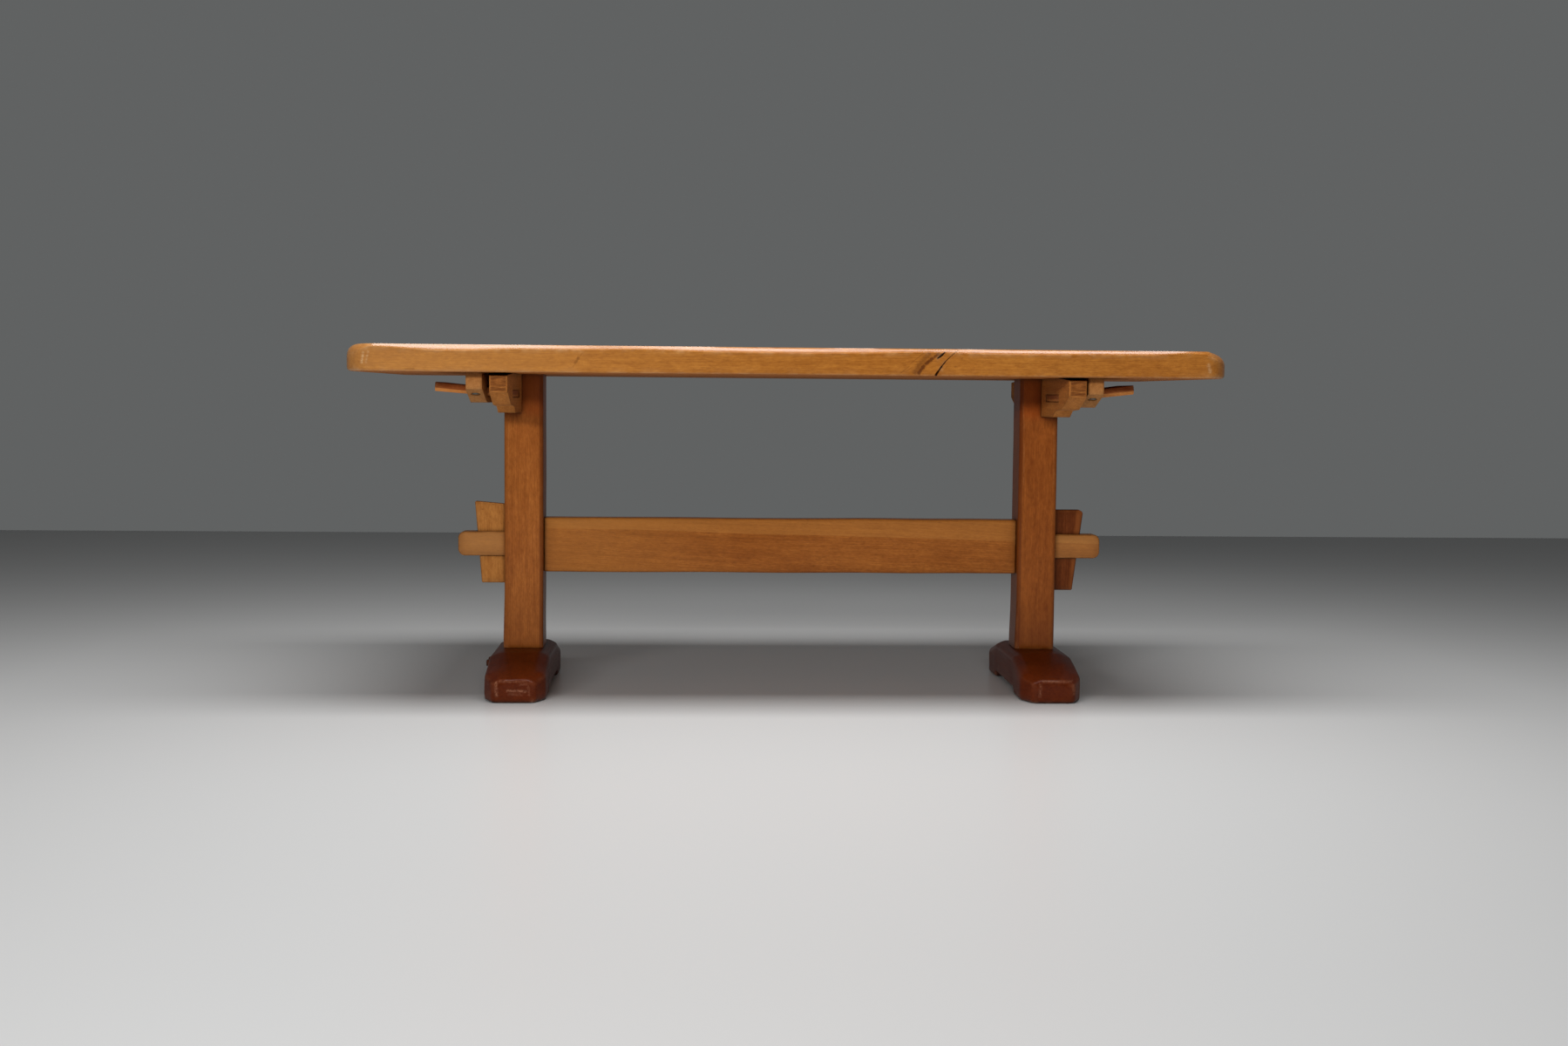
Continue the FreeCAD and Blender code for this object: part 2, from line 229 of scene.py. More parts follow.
# Noise layers of wood: scale on the two axes across the grain and along it, detail, roughness
DRIFT = ((5, 5, 1.1), 2)
BENT_LAYERS = {
    "streak": ((130, 130, 2.6), 4, 0.6),
    "fibre": ((640, 640, 16), 3, 0.65),
    "vessel": ((1500, 1500, 120), 1),
}
PLAIN_LAYERS = {
    "uneven": ((30, 30, 4), 2),
    "thin": ((45, 45, 7), 2),
    "cloud": ((11, 11, 3.6), 3, 0.6),
    "mottle": ((70, 70, 34), 3, 0.55),
    "speck": ((260, 260, 90), 3, 0.6),
    "sawn": ((40, 460, 40), 3, 0.6),
    "rub": ((38, 38, 38), 3, 0.6),
}
# Where a value starts and ends, and what it then gives, as span() takes them
PORE_EDGE = (0.60, 0.72)
PORE_THINNING = (0.35, 0.65, 0.15, 1.0)
CLOUD_EDGE = (0.40, 0.68)
STREAK_EDGE = (0.28, 0.72)
TONE_SPREADS = {"fibre": (0.28, 0.72, 0.86, 1.10), "mottle": (0.3, 0.7, 0.90, 1.09),
                "speck": (0.3, 0.7, 0.86, 1.12)}
END_FACING = (0.75, 0.98)
SAWN_SPREAD = (0.3, 0.7, 0.4, 1.25)
CRACK_EDGE = (0.86, 1.0)
GLINT_SCUFF_SPREAD = (0.36, 0.62, 0.15, 1.0)
PATINA_EDGE = (0.3, 0.6)
CREVICE_SPREAD = (0.35, 0.85, 0.8, 0.0)
RUB_EDGE = (0.42, 0.66)
FIBRE_EDGE = (0.2, 0.8)

LATE_WOOD = [(0.0, 0.0), (0.55, 0.1), (0.88, 0.85), (0.95, 1.0), (1.0, 0.0)]
RING_UNEVEN = 2.2
YEAR_LEAST = 0.25
STREAK_DARK, STREAK_LIGHT = 0.24, 0.17
GREEN_POWER, BLUE_POWER = 1.3, 1.6
PORE_DARK, PATINA_DARK, CREVICE_SHADE = 0.4, 0.55, 0.4
BAND_WANDER = 6 * MM
# How far the painted shade in crevices reaches, and its samples
CREVICE_REACH, CREVICE_SAMPLES = 12 * MM, 6
ARRIS_POWER = 2.0
FIBRE_SMOOTH, FIBRE_ROUGH, PORE_ROUGH, RUBBED_ROUGH = 0.07, 0.09, 0.18, 0.15
FIBRE_RELIEF, LATE_RELIEF, PORE_RELIEF, RUB_RELIEF = 0.35, 0.25, -0.5, 1.6
RELIEF_STRENGTH, RELIEF_DEPTH = 0.55, 0.35 * MM
WOOD_SPECULAR = 0.1
COAT_ROUGHNESS = 0.16


def bent_grain(tree, space, wander):
    """The grain's space with a slow wander across the grain."""
    drift = grains(tree, space, *DRIFT, out="Color")
    shift = vector_calc(tree, "SUBTRACT", drift, (0.5, 0.5, 0.5))
    shift = vector_calc(tree, "MULTIPLY", shift, (2 * wander, 2 * wander, 0.0))
    return vector_calc(tree, "ADD", space, shift)


def wood_layers(tree, space, bent):
    """The noise layers by name; some follow the wandering grain."""
    layers = {name: grains(tree, bent, *layer) for name, layer in BENT_LAYERS.items()}
    layers.update({name: grains(tree, space, *layer) for name, layer in PLAIN_LAYERS.items()})
    return layers


def late_wood(tree, bent, uneven, ring):
    """The dark part of the growth rings round the pith, some years stronger than others."""
    radius = vector_calc(tree, "LENGTH", vector_calc(tree, "MULTIPLY", bent, (1.0, 1.0, 0.0)))
    count = calc(tree, "MULTIPLY_ADD", uneven, RING_UNEVEN, calc(tree, "DIVIDE", radius, ring))
    year = put(tree, "TexWhiteNoise", {"W": calc(tree, "FLOOR", count)}, noise_dimensions="1D")
    late = ramp(tree, calc(tree, "FRACT", count), LATE_WOOD)
    return times(tree, late, span(tree, year.outputs["Value"], 0.0, 1.0, YEAR_LEAST, 1.0))


def grain_colour(tree, tones, layers, late, pore, contrast, blotch, streaks, pores):
    """The colour of rings, blotches, streaks, fibres and pores."""
    light, dark, ruddy = tones[:3]
    colour = mix(tree, times(tree, late, contrast), light, dark)
    colour = mix(tree, span(tree, layers["cloud"], *CLOUD_EDGE, 0.0, blotch), colour, ruddy)
    tone = span(tree, layers["streak"], *STREAK_EDGE, 1 - STREAK_DARK * streaks, 1 + STREAK_LIGHT * streaks)
    for name, limits in TONE_SPREADS.items():
        tone = times(tree, tone, span(tree, layers[name], *limits))
    green, blue = calc(tree, "POWER", tone, GREEN_POWER), calc(tree, "POWER", tone, BLUE_POWER)
    shade = put(tree, "CombineColor", {"Red": tone, "Green": green, "Blue": blue})
    colour = mix(tree, 1.0, colour, shade.outputs[0], "MULTIPLY")
    return mix(tree, times(tree, pore, pores), colour, dimmed(dark, PORE_DARK))


def banded(tree, colour, parts, uneven, bands):
    """Adds tinted bands, among them painted light and painted shade; each sets in at a start along a
    direction in x and z, over a soft width.
    """
    for across, up, start, soft, share, tint in bands:
        reach = times(tree, parts[0], across)
        reach = calc(tree, "MULTIPLY_ADD", parts[2], up, reach)
        reach = calc(tree, "MULTIPLY_ADD", uneven, BAND_WANDER, reach)
        colour = mix(tree, span(tree, reach, start, start + soft, 0.0, share), colour, tint)
    return colour


def marked(tree, colour, parts, speck, worn_and_glint, strokes, glints_and_scuffs, front):
    """Adds the knots and cracks, and the pale scuff marks and painted glints, near a piece's front."""
    if strokes:
        mark = front_marks(tree, parts, strokes, front)
        colour = mix(tree, mark, colour, KNOT_BROWN)
        colour = mix(tree, span(tree, mark, *CRACK_EDGE), colour, CRACK_BLACK)
    if glints_and_scuffs:
        # Pale marks: real scuffs, and painted glints and highlights
        glint_and_scuff = front_marks(tree, parts, glints_and_scuffs, front)
        glint_and_scuff = times(tree, glint_and_scuff, span(tree, speck, *GLINT_SCUFF_SPREAD))
        colour = mix(tree, glint_and_scuff, colour, worn_and_glint)
    return colour


def weathered_and_shaded(tree, colour, layers, dark, worn_and_glint, grime, wear):
    """Adds grime along arrises, painted shade in crevices, and rubbed arrises; also gives how far it is
    rubbed.
    """
    patina = put(tree, "Attribute", attribute_name="patina").outputs["Fac"]
    patina = times(tree, patina, span(tree, layers["mottle"], *PATINA_EDGE, 0.5 * grime, grime))
    colour = mix(tree, patina, colour, dimmed(dark, PATINA_DARK))
    # Painted shade: darker where other parts hem the surface in, from the ambient occlusion node
    crevice_shade = put(tree, "AmbientOcclusion", {"Distance": CREVICE_REACH}, samples=CREVICE_SAMPLES)
    crevice_shade = span(tree, crevice_shade.outputs["AO"], *CREVICE_SPREAD)
    colour = mix(tree, crevice_shade, colour, dimmed(dark, CREVICE_SHADE))
    arris = put(tree, "Attribute", attribute_name="arris").outputs["Fac"]
    arris = calc(tree, "POWER", arris, ARRIS_POWER)
    rubbed = times(tree, arris, span(tree, layers["rub"], *RUB_EDGE, 0.0, wear))
    return mix(tree, rubbed, colour, worn_and_glint), rubbed


def surface(tree, shader, layers, late, pore, rubbed, gloss):
    """Roughness and the fine relief of fibres, rings and pores."""
    rough = span(tree, layers["fibre"], *FIBRE_EDGE, gloss - FIBRE_SMOOTH, gloss + FIBRE_ROUGH)
    rough = calc(tree, "MULTIPLY_ADD", pore, PORE_ROUGH, rough)
    rough = calc(tree, "MULTIPLY_ADD", rubbed, RUBBED_ROUGH, rough, clamp=True)
    tree.links.new(rough, shader.inputs["Roughness"])
    height = calc(tree, "MULTIPLY_ADD", layers["fibre"], FIBRE_RELIEF, times(tree, late, LATE_RELIEF))
    height = calc(tree, "MULTIPLY_ADD", pore, PORE_RELIEF, height)
    height = calc(tree, "MULTIPLY_ADD", layers["rub"], RUB_RELIEF, height)
    relief = put(tree, "Bump",
                 {"Strength": RELIEF_STRENGTH, "Distance": RELIEF_DEPTH, "Height": height})
    tree.links.new(relief.outputs["Normal"], shader.inputs["Normal"])


def dulled(tree, shader, parts, coat, dull):
    """Makes the clear coat thinner round spots that are (centre, reach, loss) along x."""
    varnish = coat
    for centre, reach, loss in dull:
        away = calc(tree, "DIVIDE", calc(tree, "SUBTRACT", parts[0], centre), reach)
        near = calc(tree, "POWER", math.e, times(tree, calc(tree, "POWER", away, 2.0), -1.0))
        varnish = calc(tree, "MULTIPLY_ADD", near, -loss, varnish)
    if dull:
        tree.links.new(varnish, shader.inputs["Coat Weight"])


def wood(name, grain, pith, tones, ring=3.4 * MM, contrast=0.28, wander=14 * MM, blotch=0.4, lean=0.0,
         pores=0.45, wear=0.3, grime=0.35, gloss=0.5, coat=0.2, end_tone=0.3, streaks=0.6, strokes=(),
         glints_and_scuffs=(), front=0.0, bands=(), dull=()):
    """Varnished solid wood: growth rings round the pith, streaks, fibres, pores, blotches, edge wear,
    painted shade in crevices, and tinted bands and pale marks, among them painted light and shade.
    """
    dark, worn_and_glint = tones[1], tones[3]
    coating = {"Coat Weight": coat, "Coat Roughness": COAT_ROUGHNESS}
    material, tree, shader = new_tree(name, {"Specular IOR Level": WOOD_SPECULAR, **coating})
    space, end, parts = grain_space(tree, grain, pith, lean)
    bent = bent_grain(tree, space, wander)
    layers = wood_layers(tree, space, bent)
    late = late_wood(tree, bent, layers["uneven"], ring)
    pore = span(tree, layers["vessel"], *PORE_EDGE)
    pore = times(tree, pore, span(tree, layers["thin"], *PORE_THINNING))

    colour = grain_colour(tree, tones, layers, late, pore, contrast, blotch, streaks, pores)
    colour = banded(tree, colour, parts, layers["uneven"], bands)
    sawn_end = span(tree, end, *END_FACING, 0.0, end_tone)
    sawn_end = times(tree, sawn_end, span(tree, layers["sawn"], *SAWN_SPREAD))
    colour = mix(tree, sawn_end, colour, dark)
    colour = marked(tree, colour, parts, layers["speck"], worn_and_glint, strokes, glints_and_scuffs, front)
    colour, rubbed = weathered_and_shaded(tree, colour, layers, dark, worn_and_glint, grime, wear)
    tree.links.new(colour, shader.inputs["Base Color"])

    surface(tree, shader, layers, late, pore, rubbed, gloss)
    dulled(tree, shader, parts, coat, dull)
    return material


TURNING = ((900.0, 900.0, 2600.0), 3.0, 0.6)
TARNISH = ((260.0, 260.0, 260.0), 4.0, 0.65)
STEEL_GREYS = [(0.3, (0.16, 0.17, 0.155)), (0.7, (0.27, 0.28, 0.26))]
TARNISH_BROWN = (0.20, 0.12, 0.07)
TARNISH_SPREAD = (0.55, 0.72, 0.0, 0.6)
STEEL_ROUGH = (0.3, 0.7, 0.32, 0.6)
STEEL_METALLIC = 0.9
TURNING_STRENGTH, TURNING_DEPTH = 0.3, 0.1 * MM


def steel(name):
    """Dull plated screw steel with fine turning marks and a little brown tarnish."""
    material, tree, shader = new_tree(name, {"Metallic": STEEL_METALLIC})
    place = put(tree, "TexCoord").outputs["Object"]
    marks = grains(tree, place, *TURNING)
    spots = grains(tree, place, *TARNISH)
    rust = span(tree, spots, *TARNISH_SPREAD)
    colour = mix(tree, rust, ramp(tree, marks, STEEL_GREYS), TARNISH_BROWN)
    tree.links.new(colour, shader.inputs["Base Color"])
    tree.links.new(span(tree, spots, *STEEL_ROUGH), shader.inputs["Roughness"])
    relief = put(tree, "Bump",
                 {"Strength": TURNING_STRENGTH, "Distance": TURNING_DEPTH, "Height": marks})
    tree.links.new(relief.outputs["Normal"], shader.inputs["Normal"])
    return material


# Mesh helpers

def cad_solid(node):
    """A node's CAD solid as a closed mesh whose flat faces are whole again."""
    bm = bmesh.new()
    bm.from_mesh(frame["nodes"][node].data)
    bmesh.ops.remove_doubles(bm, verts=bm.verts[:], dist=WELD)
    bmesh.ops.dissolve_limit(bm, angle_limit=FLAT_ANGLE, verts=bm.verts[:], edges=bm.edges[:])
    return bm


def everything(bm):
    return bm.verts[:] + bm.edges[:] + bm.faces[:]


def ease(bm, width, steps=3, corner=CORNER_ANGLE):
    """Rounds the outer corners that are sharper than an angle."""
    bm.normal_update()
    edges = [e for e in bm.edges if e.is_manifold and e.calc_face_angle_signed() > corner]
    bmesh.ops.bevel(bm, geom=edges, offset=width, offset_type="OFFSET", segments=steps,
                    profile=0.5, affect="EDGES", clamp_overlap=True)


def pare(bm, point, normal):
    """Cuts away what lies beyond a plane and closes the cut."""
    cut = bmesh.ops.bisect_plane(bm, geom=everything(bm), dist=SNAP, plane_co=point, plane_no=normal,
                                 clear_outer=True)
    rim = [g for g in cut["geom_cut"] if isinstance(g, bmesh.types.BMEdge)]
    bmesh.ops.edgenet_fill(bm, edges=rim)
    bmesh.ops.recalc_face_normals(bm, faces=bm.faces[:])


def cut_up(bm, cells):
    """Divides the faces along each axis into cells of about the given sizes; 0 leaves an axis."""
    for axis, cell in enumerate(cells):
        if not cell:
            continue
        low = min(v.co[axis] for v in bm.verts)
        high = max(v.co[axis] for v in bm.verts)
        count = max(1, round((high - low) / cell))
        for k in range(1, count):
            point, normal = Vector(), Vector()
            point[axis] = low + (high - low) * k / count
            normal[axis] = 1
            bmesh.ops.bisect_plane(bm, geom=everything(bm), dist=SNAP, plane_co=point, plane_no=normal)


def hew(bm, amount, wave, keep):
    """Moves the surface by a smooth noise, as hand tools leave it; keep(point) is 0 where it stays."""
    for vert in bm.verts:
        share = keep(vert.co)
        if share:
            vert.co += noise.noise_vector(vert.co / wave) * amount * share


def smooth_step(value, low, high):
    t = min(1.0, max(0.0, (value - low) / (high - low)))
    return t * t * (3 - 2 * t)


def spread(bm, value, reach, share):
    """Values that also reach the neighbouring points, at a share, along edges shorter than a reach."""
    return [
        max([value[v.index]] + [share * value[e.other_vert(v).index]
                                for e in v.link_edges if e.calc_length() < reach])
        for v in bm.verts
    ]


def mark_arrises(mesh):
    """Stores how strongly each point lies on an outer corner: closely for wear, widely for grime."""
    bm = bmesh.new()
    bm.from_mesh(mesh)
    bm.normal_update()
    sharp = [
        min(1.0, sum(max(0.0, e.calc_face_angle_signed(0.0)) for e in v.link_edges) / FULL_ARRIS)
        for v in bm.verts
    ]
    marks = {
        "arris": spread(bm, sharp, ARRIS_REACH, ARRIS_SHARE),
        "patina": spread(bm, sharp, PATINA_REACH, PATINA_SHARE),
    }
    bm.free()
    for name, value in marks.items():
        mesh.attributes.new(name, "FLOAT", "POINT").data.foreach_set("value", value)


def skin(bm, rings):
    """Closes a row of rings of points into a solid."""
    for one, two in zip(rings, rings[1:]):
        for k in range(len(one)):
            m = (k + 1) % len(one)
            bm.faces.new((one[k], one[m], two[m], two[k]))
    bm.faces.new(rings[0][::-1])
    bm.faces.new(rings[-1])


def new_object(name, bm):
    """A linked object made of a mesh, which is used up."""
    mesh = bpy.data.meshes.new(name)
    bm.to_mesh(mesh)
    bm.free()
    made = bpy.data.objects.new(name, mesh)
    bpy.context.scene.collection.objects.link(made)
    return made


def discard(made):
    """Removes an object and its mesh."""
    mesh = made.data
    bpy.data.objects.remove(made)
    bpy.data.meshes.remove(mesh)


def piece(name, bm, nodes, material, sharp=SHARP_ANGLE, under=None):
    """Makes a mesh into a piece that stands for CAD nodes and rides on their body."""
    bm.normal_update()
    made = new_object(name, bm)
    mesh = made.data
    mesh.polygons.foreach_set("use_smooth", [True] * len(mesh.polygons))
    mesh.set_sharp_from_angle(angle=sharp)
    mark_arrises(mesh)
    mesh.materials.append(material)
    if under:
        mesh.materials.append(under)
        below = [int(f.normal.z < UNDER_FACING) for f in mesh.polygons]
        mesh.polygons.foreach_set("material_index", below)
    weighted = made.modifiers.new("even normals", "WEIGHTED_NORMAL")
    weighted.keep_sharp = True
    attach(made, BODY_OF[nodes[0]])
    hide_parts(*nodes)
    return made


def reworked(bm, name, kind, **settings):
    """A mesh after one modifier, as a new mesh; the modifier itself isn't kept."""
    holder = new_object(name, bm)
    change = holder.modifiers.new(name, kind)
    for key, value in settings.items():
        setattr(change, key, value)
    graph = bpy.context.evaluated_depsgraph_get()
    made = bmesh.new()
    made.from_mesh(holder.evaluated_get(graph).to_mesh())
    discard(holder)
    return made


# Top

TOP_CUT_ALONG, TOP_CUT_ACROSS = 30 * MM, 34 * MM
TOP_CORNER_ROUND = 50 * MM
END_ARRIS = {-1: 24 * MM, 1: 27 * MM}
LONG_ARRIS = 9.5 * MM
ARRIS_WAVE, ARRIS_WAVE_LENGTH = 1.6 * MM, 0.13
ARRIS_SEEDS = (7.3, 0.4)
SEAM_ARRIS = 0.5 * MM
UNDER_ARRIS = 3.5 * MM
UNDER_END_ARRIS = 8 * MM
UNDER_STEPS = 5
GROOVE_STEP = UNDER_STEPS + 2
ARRIS_STEPS = 7
LONG_CONTROL, END_CONTROL = 0.39, 0.08
LONG_DEPTH = 0.8
END_DEPTH = {-1: 1.0, 1: 1.7}
PLANK_SHARP = math.radians(24)
FACE_RIM = 4 * MM
TONGUE_ROOM = 0.2 * MM
SPRING_ROOM = 3 * MM
HEWN_STEP = 9 * MM
EDGE_HEW = (0.8 * MM, 0.14)
EDGE_FADE = (15 * MM, 50 * MM)
UNDER_FADE, TOP_FADE = 12 * MM, MM
# Places along the front edge where its arris grows or shrinks: centre, reach, change
FRONT_DIPS = ((-0.69, 0.11, 3.5 * MM), (-0.30, 0.09, -2.0 * MM), (-0.02, 0.16, 2.5 * MM),
              (0.24, 0.08, -1.5 * MM), (0.50, 0.12, 1.5 * MM), (-0.83, 0.06, -4.5 * MM),
              (0.81, 0.05, -4.0 * MM))


def long_arris(x, row):
    """The height of the hewn arris of a long edge, wavy from the drawknife."""
    spot = Vector((x / ARRIS_WAVE_LENGTH, row * ARRIS_SEEDS[0], ARRIS_SEEDS[1]))
    size = LONG_ARRIS + ARRIS_WAVE * noise.noise(spot)
    if row < 0:
        for centre, reach, depth in FRONT_DIPS:
            size += depth * math.exp(-((x - centre) / reach) ** 2)
    return size


def arris_height(point, inward):
    """The arris goes over from that of the long edge to that of the end round the cut corner."""
    long_size = long_arris(point.x, -1 if point.y < 0 else 1)
    end_size = END_ARRIS[1 if point.x > 0 else -1]
    return long_size + (end_size - long_size) * abs(inward.x)


def walk(start, stop, step):
    """Points between two points, evenly spaced, the two themselves left out."""
    count = max(1, round((stop - start).length / step))
    return [start.lerp(stop, k / count) for k in range(1, count)]


def rounded(before, corner, after, radius, steps=6):
    """(point, inward normal) pairs of an arc that rounds a corner of a plan outline."""
    to_a, to_b = (before - corner).normalized(), (after - corner).normalized()
    half = to_a.angle(to_b) / 2
    centre = corner + (to_a + to_b).normalized() * radius / math.sin(half)
    first = (corner + to_a * radius / math.tan(half) - centre).normalized()
    last = (corner + to_b * radius / math.tan(half) - centre).normalized()
    rays = [first.slerp(last, k / steps) for k in range(steps + 1)]
    return [(centre + ray * radius, -ray) for ray in rays]


def outer_row(low, high, row, way):
    """The plan outline along an outer long edge with its two cut corners."""
    y = low.y if row < 0 else high.y
    middle = (low.y + high.y) / 2
    inner = y - row * TOP_CUT_ACROSS
    start, stop = (low.x, high.x) if way > 0 else (high.x, low.x)
    path = [Vector((start, middle)), Vector((start, inner)), Vector((start + way * TOP_CUT_ALONG, y)),
            Vector((stop - way * TOP_CUT_ALONG, y)), Vector((stop, inner)), Vector((stop, middle))]
    arcs = [rounded(*path[k - 1:k + 2], TOP_CORNER_ROUND) for k in range(1, 5)]
    straight = [(point, Vector((0, -row))) for point in walk(arcs[1][-1][0], arcs[2][0][0], HEWN_STEP)]
    return [(*spot, False) for spot in arcs[0] + arcs[1] + straight + arcs[2] + arcs[3]]


def seam_row(low, high, row, way, groove):
    """The plan outline along a glued seam, with stops where the tongue's groove ends."""
    y = low.y if row < 0 else high.y
    clear = 2 * FACE_RIM
    stops = [low.x, low.x + END_ARRIS[-1] * END_DEPTH[-1] + clear, groove[0].x - TONGUE_ROOM,
             groove[1].x + TONGUE_ROOM, high.x - END_ARRIS[1] * END_DEPTH[1] - clear, high.x]
    spots = [(Vector((x, y)), Vector((0, -row)), True) for x in stops]
    spots[0] = (spots[0][0], Vector((1, 0)), False)
    spots[-1] = (spots[-1][0], Vector((-1, 0)), False)
    return spots[::way]


def plank_section(size, turn_to_end, end_depth, low, high, groove):
    """(inset, height) pairs up the edge of a plank, from the underside to the top."""
    control = LONG_CONTROL + (END_CONTROL - LONG_CONTROL) * turn_to_end
    depth = LONG_DEPTH + (end_depth - LONG_DEPTH) * turn_to_end
    under = UNDER_ARRIS + (UNDER_END_ARRIS - UNDER_ARRIS) * turn_to_end
    section = [(under + FACE_RIM, low.z)]
    for k in range(UNDER_STEPS + 1):
        turn = math.pi / 2 * k / UNDER_STEPS
        section.append((under * (1 - math.sin(turn)), low.z + under * (1 - math.cos(turn))))
    spring = high.z - size
    section += [(0, min(groove[0].z - TONGUE_ROOM, spring - 2 * SPRING_ROOM)),
                (0, min(groove[1].z + TONGUE_ROOM, spring - SPRING_ROOM))]
    for k in range(ARRIS_STEPS + 1):
        t = k / ARRIS_STEPS
        lead = 2 * t * (1 - t) * control
        section.append((size * depth * (lead + t * t), high.z - size * (lead + (1 - t) ** 2)))
    section.append((section[-1][0] + FACE_RIM, high.z))
    return section


CRACK_DEPTH = 11 * MM
CRACK_LEAD = 4 * MM
CRACKS = (
    ((295.3, 730.3, 0.5), (301, 733.5, 1.5), (306, 737.5, 1.7), (311.5, 743.5, 0.8)),
    ((291.0, 694.0, 2.0), (297, 703, 1.6), (306, 716, 1.0), (313.1, 725.2, 0.7), (324, 736, 0.5),
     (337.5, 748.0, 0.3)),
)


def crack_blades(front):
    """Thin wedges along the cracks of the front edge, to be cut away; points are (x, z, half width), mm."""
    bm = bmesh.new()
    for crack in CRACKS:
        rings = []
        for k, (x, z, half) in enumerate(crack):
            before, after = crack[max(0, k - 1)], crack[min(len(crack) - 1, k + 1)]
            way = Vector((after[0] - before[0], after[1] - before[1])).normalized()
            side = Vector((-way.y, way.x)) * half * MM
            spot = Vector((x, z)) * MM
            left, right = spot + side, spot - side
            corners = ((left.x, front - CRACK_LEAD, left.y), (right.x, front - CRACK_LEAD, right.y),
                       (right.x, front, right.y),
                       (spot.x + CRACK_DEPTH * CRACK_SLANT, front + CRACK_DEPTH, spot.y),
                       (left.x, front, left.y))
            rings.append([bm.verts.new(corner) for corner in corners])
        skin(bm, rings)
    bmesh.ops.recalc_face_normals(bm, faces=bm.faces[:])
    return bm


def cracked(bm, front):
    """The front plank with its cracks cut in."""
    tool = new_object("blades", crack_blades(front))
    made = reworked(bm, "cracked", "BOOLEAN", operation="DIFFERENCE", solver="EXACT", object=tool)
    discard(tool)
    return made


def end_row(start, stop, inward):
    """The plan outline along an end of a plank, between its long edges."""
    return [(point, Vector((inward, 0)), False) for point in walk(start, stop, HEWN_STEP)]


def plank_outline(low, high, outer, tongues):
    """(point, inward normal, whether on a seam) round a plank's plan."""
    spots = []
    for row in (-1, 1):
        way = -row
        if outer[row]:
            side = outer_row(low, high, row, way)
        else:
            side = seam_row(low, high, row, way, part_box(tongues[row]))
        if spots:
            spots += end_row(spots[-1][0], side[0][0], way)
        spots += side
    return spots + end_row(spots[-1][0], spots[0][0], 1)


def plank_faces(bm, columns, seams, groove):
    """Closes columns of points into a plank; gives the walls of its seams that a tongue goes into."""
    walls = []
    for k, column in enumerate(columns):
        m = (k + 1) % len(columns)
        after = columns[m]
        for j in range(len(column) - 1):
            face = bm.faces.new((column[j], after[j], after[j + 1], column[j + 1]))
            whole = (column[j].co - after[j].co).length > groove[1].x
            if seams[k] and seams[m] and j == GROOVE_STEP and whole:
                walls.append(face)
    bm.faces.new([column[-1] for column in columns])
    bm.faces.new([column[0] for column in reversed(columns)])
    return walls


def plank(index, material, under):
    """One plank of the top: hewn arris, soft ends, bevelled seams and grooves for the tongues."""
    node = f"top_plank_{index}"
    low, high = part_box(node)
    outer = {-1: low.y < cad_box[0].y + MM, 1: high.y > cad_box[1].y - MM}
    tongues = {-1: f"top_tongue_{index - 1}", 1: f"top_tongue_{index}"}
    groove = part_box(tongues[1] if outer[-1] else tongues[-1])
    spots = plank_outline(low, high, outer, tongues)
    bm = bmesh.new()
    columns = []
    for point, inward, seam in spots:
        size = SEAM_ARRIS if seam else arris_height(point, inward)
        end_depth = END_DEPTH[1 if point.x > 0 else -1]
        section = plank_section(size, abs(inward.x), end_depth, low, high, groove)
        columns.append([bm.verts.new((*(point + inward * inset), z)) for inset, z in section])
    walls = plank_faces(bm, columns, [seam for _, _, seam in spots], groove)
    bm.normal_update()
    depth = (groove[1].y - groove[0].y) / 2 + TONGUE_ROOM
    for wall in walls:
        inward = -wall.normal * depth
        sunk = bmesh.ops.extrude_discrete_faces(bm, faces=[wall])["faces"][0]
        bmesh.ops.translate(bm, verts=sunk.verts[:], vec=inward)
    hew(bm, *EDGE_HEW, lambda p: edge_share(p, low, high, outer))
    if outer[-1]:
        bm = cracked(bm, low.y)
    return piece(node + "_wood", bm, [node], material, PLANK_SHARP, under)


def edge_share(point, low, high, outer):
    """1 on the outer long edges of the top, fading to 0 further in, on the underside and on top."""
    away = {-1: point.y - low.y, 1: high.y - point.y}
    share = max(1 - smooth_step(away[row], *EDGE_FADE) if outer[row] else 0.0 for row in away)
    share *= smooth_step(point.z, low.z, low.z + UNDER_FADE)
    return share * (1 - smooth_step(point.z, high.z - TOP_FADE, high.z))


# Trestles

# Arris widths, mesh cells along each axis, and (amount, wave) of the uneven surface
RAIL_ARRIS, RAIL_CELLS, RAIL_HEW = 3.2 * MM, (16 * MM, 12 * MM, 12 * MM), (1.3 * MM, 0.17)
RAIL_KEEP_FROM, RAIL_KEEP_TO = 0.09, 0.03
POST_ARRIS, POST_CELLS, POST_HEW = 1.6 * MM, (14 * MM, 14 * MM, 14 * MM), (0.9 * MM, 0.15)
POST_KEEP_RAIL, POST_KEEP_BEARER, POST_KEEP_FOOT = (0.10, 0.15), (0.0, 0.06), (0.10, 0.14)
POST_FLARE, FLARE_EDGE, FLARE_HEIGHT = 2.5 * MM, 3 * MM, 0.13
TIMBER_ARRIS, TIMBER_CELLS = 2.0 * MM, (12 * MM, 14 * MM, 12 * MM)
SCREW_ARRIS, SCREW_CELLS = 0.4 * MM, (0, 0, 0)
FOOT_VOXEL = 2.2 * MM
FOOT_SOFTENING, FOOT_SOFT_FACTOR = 34, 0.5
FOOT_HEW = (1.2 * MM, 0.06)
FOOT_KEEP_BASE, FOOT_KEEP_MIDDLE = (4 * MM, 20 * MM), (0.06, 0.10)
WEDGE_ARRIS, WEDGE_CELLS, WEDGE_CORNER = 1.2 * MM, (9 * MM, 0, 12 * MM), math.radians(50)
LEFT_WEDGE_FALL = 6 * MM
